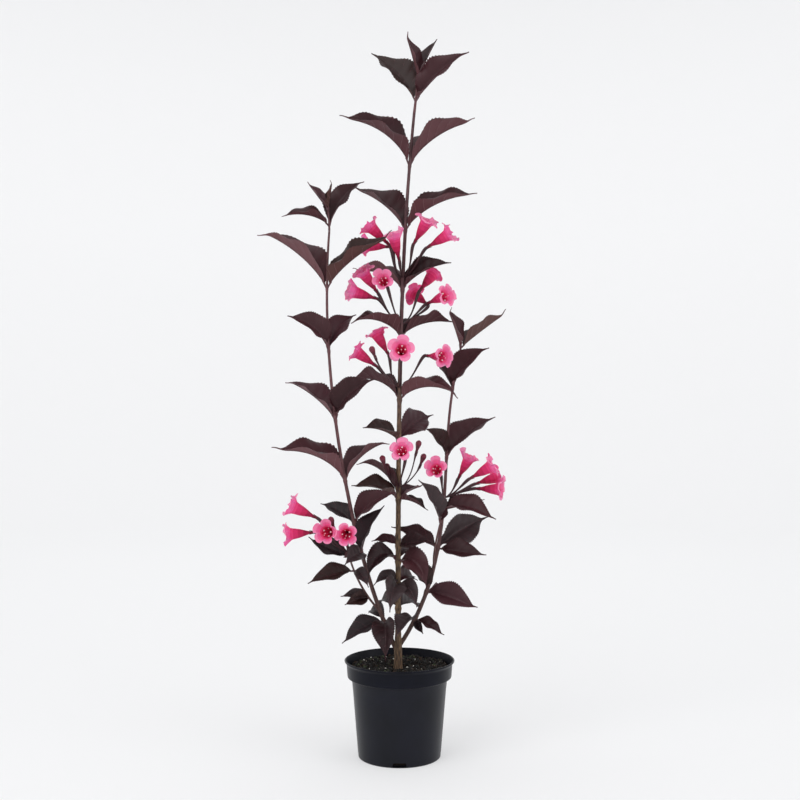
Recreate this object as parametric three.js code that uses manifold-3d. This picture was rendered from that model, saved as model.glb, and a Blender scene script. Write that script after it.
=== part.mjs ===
// A young weigela in bloom: one short trunk, three upright stems and four side shoots in a round
// nursery pot. Millimetres, +Z up, origin in the middle of the pot's underside, -Y is the front.
import * as THREE from "three";
import { mergeVertices } from "three/addons/utils/BufferGeometryUtils.js";
import Module from "manifold-3d";

const wasm = await Module();
wasm.setup();

const vector = (x, y, z) => new THREE.Vector3(x, y, z);
const UP = vector(0, 0, 1);

// A limb is a cubic Bezier curve through the air, with a radius at its foot and at its tip.
function limb(a, b, c, d, footRadius, tipRadius) {
  const curve = new THREE.CubicBezierCurve3(vector(...a), vector(...b), vector(...c), vector(...d));
  return { at: (u) => curve.getPoint(u), radius: (u) => footRadius + (tipRadius - footRadius) * u };
}

// ---------------------------------------------------------------- driving dimensions
const CLEARANCE = 0.3; // gap between any two sub-parts
const KEEP_OFF = 0.45; // what leaves and flowers keep from all but their own mass
const POT = { rimRadius: 60, height: 105, baseRadius: 45, wall: 1.3, band: 23, bandStep: 4.5, lip: 1.6 };
const NOTCHES = { count: 8, width: 13, height: 5, depth: 9 };
const SOIL = { level: 97, mound: 3, bed: 3 };

const GROUND = SOIL.level + CLEARANCE;
const TRUNK = { foot: GROUND, tip: 700, base: 3.3, top: 1.6 };
const LEAN = { across: 17.5, power: 3.4, start: -1.5, toward: 10, upright: 320 };
const BUTT = { radius: 1.8, from: 112, to: 146 }; // the thick piece below the forks
const FLARE = { radius: 1.3, height: 6 };
const LEFT_STEM = limb([-4, -8, 118], [-48, -8, 210], [-88, -30, 400], [-75, -26, 568], 2.6, 1.2);
const RIGHT_STEM = limb([-1, -7, 120], [70, 8, 220], [40, 42, 335], [66, 30, 430], 2.5, 1.3);

// Leaves: the tip as seen from the front, measured from the leaf's own node.
// [across (+ right), toward the front, lift, bow above the chord, roll (+ shows the upper side)]
// Flowers: the middle of the mouth from the node, then the way it faces.
// [across, toward the front, up, azimuth (0 front, 90 right), tilt above level]
const MAIN_NODES = [
  {
    z: 162,
    leaves: [[24, -46, -10, 8, 38], [-22, -43, -4, 8, 38]],
  },
  {
    z: 187,
    leaves: [
      [-26, 19, 3, 8, 40],
      [-9, 43, -22, 10, 28],
      [18, -32, -2, 10, 45],
      [20, 24, -20, 8, 35],
    ],
  },
  {
    z: 212,
    leaves: [[-32, 24, -15, 16, 35], [10, -54, 8, 10, 30], [30, 30, -24, 14, 40]],
  },
  {
    z: 229,
    leaves: [[-29, -6, 4, 4, 43], [36, 27, 9, 1, 54]],
  },
  {
    z: 279,
    leaves: [
      [-50, 30, 15, 7, 26],
      [-46, -24, 40, 12, -18],
      [31, 24, -10, 4, -10],
      [28, -24, 13, 3, 3],
    ],
    flowers: [[3, 42, 56, -10, 22]],
    buds: [[23, 6, 65], [29, -6, 50]],
  },
  {
    z: 343,
    leaves: [[-38, 40, 15, 5, 34], [36, -51, 25, 7, 52]],
  },
  {
    z: 388,
    leaves: [[-56, -40, 20, 12, -11], [63, 40, 4, 12, 2]],
    flowers: [
      [-47, -4, 52, -85, 35],
      [-25, -8, 73, -110, 60],
      [2, 44, 53, 0, 8],
      [47, 18, 46, 45, -5],
      [2, -48, 58, 178, 12],
    ],
    buds: [[-30, 46, 56]],
  },
  {
    z: 457,
    leaves: [[-53, 38, 13, 10, 9], [60, -38, 17, 8, -9]],
    flowers: [
      [-19, 38, 57, -10, 10],
      [-40, 22, 67, -60, 50],
      [-51, 20, 47, -75, 15],
      [35, -14, 69, 130, 45],
      [15, -22, 48, -140, 30],
      [48, 14, 43, 50, 15],
    ],
  },
  {
    z: 508,
    leaves: [[-55, -40, 22, 10, -7], [52, 27, 26, 7, 42]],
    flowers: [
      [-35, 2, 68, -80, 42],
      [-38, 8, 47, -105, 5],
      [-9, 22, 54, -30, 65],
      [26, 24, 71, 60, 55],
      [49, 22, 57, 80, 30],
    ],
  },
  {
    z: 573,
    leaves: [[-59, -40, 52, 8, 12], [76, 35, 32, 11, 22]],
  },
  {
    z: 643,
    leaves: [[-75, 30, 44, 15, 32], [74, -30, 56, 10, -10]],
  },
];
const LEFT_NODES = [
  {
    z: 147,
    leaves: [[-44, 19, -20, 5, 32], [2, 35, -34, 14, 18], [-18, -30, 4, 8, 38]],
  },
  {
    z: 254,
    leaves: [[-38, -22, 20, 3, 35], [45, 27, 36, 6, 59]],
  },
  {
    z: 301,
    leaves: [[-75, 30, 32, 13, 14], [47, -35, 40, 9, -8]],
  },
  {
    z: 366,
    leaves: [[-56, -25, 43, 6, 14], [43, 35, 43, 9, 75]],
  },
  {
    z: 440,
    leaves: [[-42, 32, 34, 9, 62], [28, -27, 40, 8, 33]],
  },
  {
    z: 507,
    leaves: [[-77, -30, 65, 9, 2], [72, 30, 51, 8, 30]],
  },
];
const RIGHT_NODES = [
  {
    z: 149,
    leaves: [[31, 19, -14, 1, 20], [-20, 46, -10, 6, 0], [9, 12, -14, 0, 49]],
  },
  {
    z: 178,
    leaves: [[54, 27, -15, 3, 47], [30, -32, -2, -3, 48], [-27, 1, 28, 10, 59]],
  },
  {
    z: 225,
    leaves: [[56, -45, 28, 4, 68], [51, 27, -4, -2, 38], [-51, 0, 24, 0, 30]],
  },
  {
    z: 266,
    leaves: [[55, 27, -10, 8, 30], [48, -30, 8, 0, 20]],
    flowers: [
      [-9, 30, 47, -15, 20],
      [28, 4, 57, 60, 60],
      [52, 16, 49, 80, 30],
      [60, -16, 35, 110, 15],
      [63, 2, 23, 70, 0],
    ],
  },
  {
    z: 324,
    leaves: [[-25, 27, 33, 5, 75], [57, -32, 43, 6, 22]],
  },
  {
    z: 400,
    leaves: [[-18, -24, 33, 2, -1], [38, 27, 45, 8, 75]],
  },
];
// Shoots and tips carry their own twig, which starts on a limb and holds all that grows from it.
const TWIGS = {
  main_tip: {
    twig: limb([16, 0, 700.4], [17.5, 0, 712], [19, 0, 728], [21, 0, 744], 1.6, 1.0),
    nodes: [
      {
        z: 714,
        leaves: [[-49, -30, 61, 4, 28], [55, 32, 45, 4, 67]],
      },
      {
        z: 738,
        leaves: [[-14, 11, 47, 1, 60], [21, -11, 47, 1, 11]],
      },
    ],
  },
  left_tip: {
    twig: limb([-75, -26, 568.4], [-75, -26, 580], [-76, -26, 590], [-77, -26, 600], 1.2, 0.9),
    nodes: [
      {
        z: 574,
        leaves: [[-49, 15, 7, 7, 20], [36, -22, 53, 5, 24]],
      },
      {
        z: 591,
        leaves: [[-23, -8, 31, 0, 13], [5, 11, 29, 0, 70]],
      },
    ],
  },
  right_tip: {
    twig: limb([66, 30, 430.6], [67, 30, 437], [68, 30, 444], [69, 30, 452], 1.3, 1.0),
    nodes: [
      {
        z: 446,
        leaves: [[-16, 27, 42, 2, 75], [55, -27, 42, 1, -10]],
      },
    ],
  },
  left_low_shoot: {
    twig: limb([-21, -9, 159], [-33, -15, 172], [-48, -22, 196], [-54, -24, 222], 1.3, 1.0),
    nodes: [
      {
        z: 174,
        leaves: [[-30, 14, 4, 2, 46], [-26, 22, -4, 2, 60]],
      },
      {
        z: 205,
        leaves: [[-48, 19, -10, 1, 41], [16, 19, -15, 4, 38]],
      },
      {
        z: 219,
        leaves: [[-45, -14, 18, 0, 47], [1, 26, 15, -1, 60]],
      },
    ],
  },
  left_low_flowers: {
    twig: limb([-54, -24, 222.7], [-55, -25, 225], [-55, -25, 228], [-56, -26, 232], 1.3, 1.2),
    nodes: [
      {
        z: 225,
        flowers: [
          [-59, 6, 49, -85, 25],
          [-63, 0, 19, -90, -5],
          [-22, 26, 24, -15, 5],
          [-1, 28, 22, 0, 0],
        ],
        buds: [[-19, 10, 39]],
      },
    ],
  },
  left_leafy_shoot: {
    twig: limb([-29, -9.5, 186], [-33, -16, 196], [-37, -20, 208], [-41, -24, 226], 1.2, 0.9),
    nodes: [
      {
        z: 223,
        leaves: [[25, 8, 52, 5, 50], [-16, 43, -6, 4, 48]],
      },
    ],
  },
  right_leafy_shoot: {
    twig: limb([38, 7, 206], [36, -4, 218], [40, -9, 238], [45, -9, 258], 1.3, 0.9),
    nodes: [
      {
        z: 255,
        leaves: [[-23, 22, 48, 3, 70], [6, -14, 20, 2, 38]],
      },
    ],
  },
};
const LEAF = { width: 0.56, fold: 35, petiole: 0.07, dripTip: 0.06, root: 1.3, thick: 1.1 };
const SMALL_LEAF = 52; // a leaf shorter than this takes fewer stations
const LEAF_STATIONS = [0, 0.12, 0.32, 0.56, 0.84, 1];
const SMALL_LEAF_STATIONS = [0, 0.12, 0.4, 0.76, 1];
const FLOWER = { tube: 28, waist: 4.4, mouth: 7.2, wall: 1.0 };
const PETAL = { count: 5, lobe: 14.4, notch: 9.4, flare: 4 };
const BUD = { length: 17, head: 3.2 };
const STALK_RADIUS = 1.1;
const STALK_STATIONS = [0, 0.3, 0.65, 0.95];
const COLLAR = { sides: 5, height: 5, swell: 1.3, play: 0.3, bore: 30, pitch: 13 };
const SWINGS = [0, 8, -8, 16, -16, 26, -26, 38, -38]; // millimetres toward the front

// ---------------------------------------------------------------- small helpers

// A number from 0 to 1 that depends only on n.
function seeded(n) {
  const s = Math.sin(n * 12.9898) * 43758.5453;
  return s - Math.floor(s);
}

// The trunk leans more and more towards its tip, and is thick below the forks.
function trunkLimb() {
  const height = TRUNK.tip - TRUNK.foot;
  return {
    at: (u) => {
      const z = TRUNK.foot + height * u;
      const toward = LEAN.toward * (1 - THREE.MathUtils.smoothstep(z, TRUNK.foot, LEAN.upright));
      return vector(LEAN.start + LEAN.across * u ** LEAN.power, -toward, z);
    },
    radius: (u) => {
      const z = TRUNK.foot + height * u;
      const butt = BUTT.radius * (1 - THREE.MathUtils.smoothstep(z, BUTT.from, BUTT.to));
      const flare = FLARE.radius * Math.exp(-(z - TRUNK.foot) / FLARE.height);
      return THREE.MathUtils.lerp(TRUNK.base, TRUNK.top, u) + butt + flare;
    },
  };
}

// How far along a limb its axis reaches height z.
function shareAt(line, z) {
  let low = 0;
  let high = 1;
  for (let i = 0; i < 30; i++) {
    const middle = (low + high) / 2;
    if (line.at(middle).z < z) low = middle;
    else high = middle;
  }
  return (low + high) / 2;
}

// A closed skin over rings of points. Each ring has as many points as the one before it, or twice
// as many, or a single point for a tip. Rings run counter-clockwise about the way they follow on.
// The diagonals alternate, so that a leaf's upper and lower skins bend alike.
function loft(rings) {
  const positions = [];
  const starts = rings.map((ring) => {
    const start = positions.length / 3;
    ring.forEach((p) => positions.push(p.x, p.y, p.z));
    return start;
  });
  const faces = [];
  for (let i = 0; i + 1 < rings.length; i++) {
    const n = rings[i].length;
    const m = rings[i + 1].length;
    for (let j = 0; j < n; j++) {
      const a = starts[i] + j;
      const b = starts[i] + ((j + 1) % n);
      const c = starts[i + 1] + ((j + 1) % n) * (m / n);
      const d = starts[i + 1] + j * (m / n);
      if (m === 1) faces.push(a, b, starts[i + 1]);
      else if (m === n && j % 2 === 0) faces.push(a, b, c, a, c, d);
      else if (m === n) faces.push(a, b, d, b, c, d);
      else faces.push(a, b, d + 1, a, d + 1, d, b, c, d + 1);
    }
  }
  const first = rings[0].length;
  const last = rings[rings.length - 1].length;
  const end = starts[rings.length - 1];
  for (let j = 1; j + 1 < first; j++) faces.push(0, j + 1, j);
  for (let j = 1; j + 1 < last; j++) faces.push(end, end + j, end + j + 1);
  const geometry = new THREE.BufferGeometry();
  geometry.setAttribute("position", new THREE.Float32BufferAttribute(positions, 3));
  geometry.setIndex(faces);
  return geometry;
}

// A ring of points round a centre, in the plane square to the direction along. It starts square to
// the direction away as well.
function ring(centre, along, radius, sides, away = vector(0, 1, 0)) {
  const side = away.clone().cross(along).normalize();
  const front = along.clone().cross(side).normalize();
  return Array.from({ length: sides }, (_, j) => {
    const angle = (2 * Math.PI * j) / sides;
    const r = typeof radius === "function" ? radius(j) : radius;
    const point = centre.clone().addScaledVector(side, r * Math.cos(angle));
    return point.addScaledVector(front, r * Math.sin(angle));
  });
}

function solid(geometry) {
  const bare = geometry.clone();
  bare.deleteAttribute("normal");
  bare.deleteAttribute("uv");
  const merged = mergeVertices(bare, 1e-3);
  const triVerts = new Uint32Array(merged.index.array);
  const vertProperties = merged.attributes.position.array;
  return new wasm.Manifold(new wasm.Mesh({ numProp: 3, vertProperties, triVerts }));
}

function geometryOf(manifold) {
  const mesh = manifold.getMesh();
  const geometry = new THREE.BufferGeometry();
  geometry.setAttribute("position", new THREE.BufferAttribute(new Float32Array(mesh.vertProperties), 3));
  geometry.setIndex(new THREE.BufferAttribute(new Uint32Array(mesh.triVerts), 1));
  return geometry;
}

const join = (solids) => solids.reduce((sum, next) => sum.add(next));

// ---------------------------------------------------------------- limbs
function limbSolid(line, sides, steps, grow = 0) {
  const rings = [];
  for (let i = 0; i <= steps; i++) {
    const u = i / steps;
    const along = line.at(Math.min(1, u + 0.01)).sub(line.at(Math.max(0, u - 0.01))).normalize();
    const centre = line.at(u).addScaledVector(along, i === steps ? grow : 0);
    rings.push(ring(centre, along, line.radius(u) + grow, sides));
  }
  return solid(loft(rings));
}

// A short five-sided prism round a limb, long and wide as asked.
function sleeve(line, z, length, extra) {
  const u = shareAt(line, z);
  const along = line.at(Math.min(1, u + 0.01)).sub(line.at(Math.max(0, u - 0.01))).normalize();
  const end = (way) => line.at(u).addScaledVector(along, (way * length) / 2);
  const r = (line.radius(u) + CLEARANCE + COLLAR.play) / Math.cos(Math.PI / COLLAR.sides) + extra;
  return solid(loft([ring(end(-1), along, r, COLLAR.sides), ring(end(1), along, r, COLLAR.sides)]));
}

// The swelling of the stem where leaves join it, and the bore that lets the stem through.
const collar = (line, z) => sleeve(line, z, COLLAR.height, COLLAR.swell);
const bore = (line, z) => sleeve(line, z, COLLAR.bore, 0);

// ---------------------------------------------------------------- leaves
// The midrib: a cubic Bezier curve in the upright plane through the leaf's foot and tip.
function midrib(foot, [across, toward, lift, bow]) {
  const out = vector(across, -toward, 0);
  const reach = out.length();
  out.normalize();
  const chord = vector(0, 0, lift).addScaledVector(out, reach);
  const rise = out.clone().multiplyScalar(-lift).addScaledVector(UP, reach).normalize();
  const at = (share) => foot.clone().addScaledVector(chord, share).addScaledVector(rise, bow / 0.75);
  const curve = new THREE.CubicBezierCurve3(foot, at(0.25), at(0.7), foot.clone().add(chord));
  return { curve, out };
}

// Half the blade's width as a share of its widest: a stalk, an egg-shaped blade and a drawn-out tip.
function bladeShare(t) {
  const blade = Math.min(1, Math.max(0, (t - LEAF.petiole) / (1 - LEAF.petiole - LEAF.dripTip)));
  const body = Math.sin(Math.PI * blade ** 0.88) ** 1.05 * (1 - 0.35 * blade ** 3);
  return Math.max(body, (0.05 * (1 - t)) / LEAF.dripTip);
}

function leafSolid(foot, leaf, grow) {
  const { curve, out } = midrib(foot, leaf);
  const long = curve.getLength();
  const roll = THREE.MathUtils.degToRad(leaf[4]) * (leaf[0] < 0 ? 1 : -1);
  const fold = THREE.MathUtils.degToRad(LEAF.fold);
  const flat = UP.clone().cross(out);
  const stations = long < SMALL_LEAF ? SMALL_LEAF_STATIONS : LEAF_STATIONS;
  const rings = stations.map((t) => {
    const place = curve.getPoint(t);
    if (t === 1) return [place.addScaledVector(curve.getTangent(1), grow)];
    const along = curve.getTangent(t);
    const upright = along.clone().cross(flat);
    const turned = roll * Math.min(1, t / 0.2);
    const side = flat.clone().multiplyScalar(Math.cos(turned)).addScaledVector(upright, -Math.sin(turned));
    const above = upright.clone().multiplyScalar(Math.cos(turned)).addScaledVector(flat, Math.sin(turned));
    const half = Math.min(LEAF.root, long) * (t < LEAF.petiole ? 1 : 0);
    const wide = Math.max(half, (bladeShare(t) * LEAF.width * long) / 2) + grow;
    const edge = (way) => {
      const rim = place.clone().addScaledVector(side, way * wide * Math.cos(fold));
      return rim.addScaledVector(above, wide * Math.sin(fold));
    };
    const thick = Math.max(LEAF.thick, long / 80) * (t < 0.1 ? 1.5 : 1 - 0.5 * t) + 2 * grow;
    const under = place.clone().addScaledVector(above, -thick);
    return [under, edge(1), place.clone().addScaledVector(above, grow), edge(-1)];
  });
  return solid(loft(rings));
}

// ---------------------------------------------------------------- flowers
const facing = (azimuth, tilt) => {
  const a = THREE.MathUtils.degToRad(azimuth);
  const e = THREE.MathUtils.degToRad(tilt);
  return vector(Math.sin(a) * Math.cos(e), -Math.cos(a) * Math.cos(e), Math.sin(e));
};

// A stalk leaves its node sideways and arrives along the flower's own axis. All its rings, and the
// flower's, keep one direction of reference, so that the skin doesn't twist.
function stalk(node, foot, axis, grow) {
  const span = foot.distanceTo(node);
  const out = foot.clone().addScaledVector(axis, FLOWER.tube).sub(node).setZ(0).normalize();
  const leave = node.clone().addScaledVector(out, 0.34 * span).addScaledVector(UP, 0.1 * span);
  const arrive = foot.clone().addScaledVector(axis, -0.18 * span);
  const curve = new THREE.CubicBezierCurve3(node, leave, arrive, foot);
  const away = curve.getTangent(0).cross(axis);
  if (away.length() < 0.2) away.set(out.y, -out.x, 0);
  away.normalize();
  const rings = STALK_STATIONS.map((t) =>
    ring(curve.getPoint(t), curve.getTangent(t), STALK_RADIUS + grow, PETAL.count, away),
  );
  return { rings, away };
}

// A five-lobed trumpet on its stalk, hollow down its throat.
function flowerSolid(node, mouth, axis, seed, grow) {
  const size = 0.94 + 0.12 * seeded(seed);
  const foot = mouth.clone().addScaledVector(axis, -FLOWER.tube * size);
  const { rings, away } = stalk(node, foot, axis, grow);
  const at = (forward) => foot.clone().addScaledVector(axis, forward * size);
  const lobed = (less) => (j) => ((j % 2 ? PETAL.notch : PETAL.lobe) - less) * size + grow;
  // The throat keeps inside the tube's five flat sides.
  const sides = Math.cos(Math.PI / PETAL.count);
  const throat = (j) => (FLOWER.mouth * (j % 2 ? sides : 1) - FLOWER.wall) * size;
  const round = (forward, radius) => ring(at(forward), axis, radius * size + grow, PETAL.count, away);
  return solid(
    loft([
      ...rings,
      round(FLOWER.tube * 0.6, FLOWER.waist),
      round(FLOWER.tube, FLOWER.mouth),
      ring(at(FLOWER.tube + PETAL.flare), axis, lobed(0), 2 * PETAL.count, away),
      ring(at(FLOWER.tube + PETAL.flare + FLOWER.wall), axis, lobed(FLOWER.wall), 2 * PETAL.count, away),
      ring(at(FLOWER.tube + FLOWER.wall * 0.6), axis, throat, 2 * PETAL.count, away),
      [at(FLOWER.tube * 0.62)],
    ]),
  );
}

function budSolid(node, tip, axis, grow) {
  const at = (share) => tip.clone().addScaledVector(axis, (share - 1) * BUD.length);
  const { rings, away } = stalk(node, at(0), axis, grow);
  return solid(
    loft([
      ...rings,
      ring(at(0.8), axis, BUD.head + grow, PETAL.count, away),
      [at(1)],
    ]),
  );
}

// ---------------------------------------------------------------- masses
// Solids that later growth keeps clear of.
const taken = [];
const touches = (piece, others) => others.some((other) => !piece.intersect(other).isEmpty());

// A leaf or flower is swung toward the front or the back until it is clear, or left out.
function firstClear(make, others) {
  for (const swing of SWINGS) {
    const { piece, grown } = make(swing);
    if (!touches(grown, others)) return [{ piece, grown }];
  }
  return [];
}

// The leaves of one node: each as its solid and as one grown by the clearance.
function leavesAt(line, node, others) {
  const centre = line.at(shareAt(line, node.z));
  return (node.leaves ?? []).flatMap(([across, toward, ...rest]) =>
    firstClear((swing) => {
      const leaf = [across, toward + swing, ...rest];
      return { piece: leafSolid(centre, leaf, 0), grown: leafSolid(centre, leaf, KEEP_OFF) };
    }, others),
  );
}

// The flowers and buds of one node, on their stalks.
function blossomAt(line, node, lift, seed, others) {
  const centre = line.at(shareAt(line, node.z));
  const root = line.at(shareAt(line, node.z + lift));
  const flowers = (node.flowers ?? []).flatMap(([across, toward, up, azimuth, tilt], i) =>
    firstClear((swing) => {
      const mouth = centre.clone().add(vector(across, -toward - swing, up));
      const made = (grow) => flowerSolid(root, mouth, facing(azimuth, tilt), seed + i, grow);
      return { piece: made(0), grown: made(KEEP_OFF) };
    }, others),
  );
  const buds = (node.buds ?? []).flatMap(([across, toward, up]) =>
    firstClear((swing) => {
      const tip = centre.clone().add(vector(across, -toward - swing, up));
      const axis = vector(across, -toward - swing, up + 20).normalize();
      const made = (grow) => budSolid(root, tip, axis, grow);
      return { piece: made(0), grown: made(KEEP_OFF) };
    }, others),
  );
  return [...flowers, ...buds];
}

// The largest body of a solid; loose scraps go.
function largest(whole) {
  return whole.decompose().sort((a, b) => b.volume() - a.volume())[0];
}

const limbsBut = (name) => {
  const others = Object.keys(limbs).filter((other) => other !== name);
  return others.map((other) => limbs[other].grown);
};
const collarsBut = (node) => collars.filter(({ owner }) => owner !== node).map(({ piece }) => piece);
const piecesOf = (growth) => growth.map(({ piece }) => piece);

function keep(solidMass) {
  const mass = largest(solidMass);
  taken.push(mass);
  return mass;
}

// The leaves of a node, and the blossom above them, each round the limb on a collar of its own that
// grips the limb without touching it.
function massesOnLimb(name, node, seed) {
  const { line, grown } = limbs[name];
  const leaves = leavesAt(line, node, [...taken, ...limbsBut(name), ...collarsBut(node)]);
  const pair = join([collar(line, node.z), ...piecesOf(leaves)]);
  const masses = { leaves: keep(pair.subtract(bore(line, node.z)).subtract(grown)) };
  if (node.flowers) {
    const others = [...taken, ...limbsBut(name), ...collarsBut(node)];
    const blossom = blossomAt(line, node, COLLAR.pitch, seed, others);
    const band = collar(line, node.z + COLLAR.pitch).subtract(join(leaves.map((leaf) => leaf.grown)));
    const whole = join([band, ...piecesOf(blossom)]);
    masses.flowers = keep(whole.subtract(bore(line, node.z + COLLAR.pitch)).subtract(grown));
  }
  return masses;
}

// A mass with its own twig, cut clear of the limb that carries it.
function massOnTwig(name, { twig, nodes }, seed) {
  const carrier = name.split("_")[0];
  const others = [...taken, ...limbsBut(carrier), ...collarsBut(null)];
  const pieces = [limbSolid(twig, 5, 5)];
  nodes.forEach((node, i) => {
    pieces.push(...piecesOf(leavesAt(twig, node, others)));
    pieces.push(...piecesOf(blossomAt(twig, node, 0, seed + 10 * i, others)));
  });
  return keep(join(pieces).subtract(limbs[carrier].grown));
}

// ---------------------------------------------------------------- pot and potting mix
function lathe(profile, segments) {
  const geometry = new THREE.LatheGeometry(profile.map(([r, z]) => new THREE.Vector2(r, z)), segments);
  return solid(geometry.rotateX(Math.PI / 2));
}

const wallTop = POT.rimRadius - POT.bandStep - 2;
const bodyRadius = (z) => THREE.MathUtils.lerp(POT.baseRadius, wallTop, z / POT.height);

function potSolid() {
  const bandFoot = POT.height - POT.band;
  const shell = lathe(
    [
      [0, 0],
      [POT.baseRadius, 0],
      [bodyRadius(bandFoot), bandFoot],
      [POT.rimRadius - 2.6, bandFoot + 2.4],
      [POT.rimRadius - 1.2, POT.height - 3.4],
      [POT.rimRadius, POT.height - 2.4],
      [POT.rimRadius, POT.height - 0.3],
      [POT.rimRadius - POT.lip, POT.height],
      [POT.rimRadius - 1.2 - POT.lip, POT.height - 4],
      [POT.rimRadius - 2.6 - POT.wall, bandFoot + 4],
      [bodyRadius(bandFoot) - POT.wall, bandFoot],
      [POT.baseRadius - POT.wall, POT.wall + 0.7],
      [0, POT.wall + 0.7],
    ],
    32,
  );
  const cut = (i) => {
    const slot = new THREE.BoxGeometry(NOTCHES.depth * 2, NOTCHES.width, NOTCHES.height);
    const angle = ((i + 0.5) / NOTCHES.count) * 2 * Math.PI + Math.PI / NOTCHES.count;
    slot.translate(POT.baseRadius, 0, NOTCHES.height / 2 - 1).rotateZ(angle);
    return solid(slot);
  };
  const slots = Array.from({ length: NOTCHES.count }, (_, i) => cut(i));
  return slots.reduce((pot, slot) => pot.subtract(slot), shell);
}

// Potting mix fills the pot to its level, flat round the trunk and uneven elsewhere.
function soilSolid() {
  const inside = (z) => bodyRadius(z) - POT.wall - CLEARANCE - 0.4;
  const bandFoot = POT.height - POT.band;
  const geometry = new THREE.LatheGeometry(
    [
      [0, SOIL.bed],
      [inside(SOIL.bed), SOIL.bed],
      [inside(bandFoot), bandFoot],
      [inside(SOIL.level - 4), SOIL.level - 4],
      [48, SOIL.level - 2],
      [20, SOIL.level],
      [0, SOIL.level],
    ].map(([r, z]) => new THREE.Vector2(r, z)),
    32,
  ).rotateX(Math.PI / 2);
  const place = geometry.attributes.position;
  for (let i = 0; i < place.count; i++) {
    const r = Math.hypot(place.getX(i), place.getY(i));
    const turn = Math.round((Math.atan2(place.getY(i), place.getX(i)) * 16) / Math.PI + 32) % 32;
    if (r > 22 && place.getZ(i) > SOIL.level - 3) {
      place.setZ(i, place.getZ(i) + SOIL.mound * (seeded(turn + 40 * Math.round(r)) - 0.5));
    }
  }
  return solid(geometry);
}

// ---------------------------------------------------------------- assembly
const MATERIALS = {
  pot: new THREE.MeshStandardMaterial({ color: 0x24262a, roughness: 0.55 }),
  soil: new THREE.MeshStandardMaterial({ color: 0x2a1e16, roughness: 1 }),
  bark: new THREE.MeshStandardMaterial({ color: 0x6a5442, roughness: 0.8 }),
  stem: new THREE.MeshStandardMaterial({ color: 0x4a2c30, roughness: 0.6 }),
  foliage: new THREE.MeshStandardMaterial({ color: 0x3a2228, roughness: 0.55 }),
  blossom: new THREE.MeshStandardMaterial({ color: 0xd6406f, roughness: 0.5 }),
};

const plant = new THREE.Group();
function place(name, manifold, material) {
  const mesh = new THREE.Mesh(geometryOf(manifold), MATERIALS[material]);
  mesh.name = name;
  plant.add(mesh);
}

const limbs = {
  main: { line: trunkLimb(), sides: 8, steps: 15, nodes: MAIN_NODES },
  left: { line: LEFT_STEM, sides: 7, steps: 13, nodes: LEFT_NODES },
  right: { line: RIGHT_STEM, sides: 7, steps: 13, nodes: RIGHT_NODES },
};
Object.values(limbs).forEach((each) => {
  each.grown = limbSolid(each.line, each.sides, each.steps, CLEARANCE);
});
const collars = Object.values(limbs).flatMap(({ line, nodes }) =>
  nodes.map((node) => ({ owner: node, piece: collar(line, node.z) })),
);

place("pot", potSolid(), "pot");
place("potting_mix", soilSolid(), "soil");
for (const [name, { line, sides, steps }] of Object.entries(limbs)) {
  const whole = limbSolid(line, sides, steps);
  if (name === "main") place("main_stem", whole, "bark");
  else place(`${name}_stem`, largest(whole.subtract(limbs.main.grown)), "stem");
}
for (const [name, { nodes }] of Object.entries(limbs)) {
  nodes.forEach((node, i) => {
    for (const [kind, mass] of Object.entries(massesOnLimb(name, node, 100 * i))) {
      place(`${name}_${kind}_${i + 1}`, mass, kind === "leaves" ? "foliage" : "blossom");
    }
  });
}
Object.entries(TWIGS).forEach(([name, twig], i) => {
  place(name, massOnTwig(name, twig, 1000 + 50 * i), name.includes("flower") ? "blossom" : "foliage");
});

export default plant;
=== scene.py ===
import math

import bpy
import numpy as np
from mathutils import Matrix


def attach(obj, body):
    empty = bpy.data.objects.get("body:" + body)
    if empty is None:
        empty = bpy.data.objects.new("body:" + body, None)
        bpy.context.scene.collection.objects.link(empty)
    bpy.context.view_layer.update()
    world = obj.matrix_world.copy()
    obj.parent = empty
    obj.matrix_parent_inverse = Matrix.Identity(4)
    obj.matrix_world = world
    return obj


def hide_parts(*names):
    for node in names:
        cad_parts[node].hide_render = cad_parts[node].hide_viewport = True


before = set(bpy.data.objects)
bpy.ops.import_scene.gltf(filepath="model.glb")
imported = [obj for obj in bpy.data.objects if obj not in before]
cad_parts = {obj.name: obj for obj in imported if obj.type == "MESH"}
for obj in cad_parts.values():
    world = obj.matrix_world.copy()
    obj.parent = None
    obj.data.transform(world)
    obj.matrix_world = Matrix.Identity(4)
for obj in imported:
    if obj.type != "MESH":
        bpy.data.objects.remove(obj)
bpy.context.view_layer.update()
NODES = sorted(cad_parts)
MM = 0.001

# ---------------------------------------------------------------- sizes, in millimetres
CLEARANCE = 0.3
# Where these differ from the solids they follow the photo: the pot's band (23 there) and notches (8 of
# 13 by 5), the reach of the fill, the trunk's foot (BUTT and FLARE) and a flower's notch (9.4).
POT = dict(rim=60.0, height=105.0, base=45.0, wall=1.3, band=19.1, step=4.5, lip=1.6)
NOTCH = dict(count=4, width=15.0, height=5.5, depth=6.0, sill=0.5)
# The fill: its top, where the pot narrows under its band, its bottom, its reach at the top, and its
# distance from the wall below the band and at the foot.
SOIL = dict(level=97.0, waist=80.0, bed=3.0, reach=55.0, gap=0.6, foot_gap=0.7)
LUMPS = dict(seed=5, wavelength=22, height=1.1)
GRAIN = dict(seed=8, wavelength=6, octaves=3, height=0.5)
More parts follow.
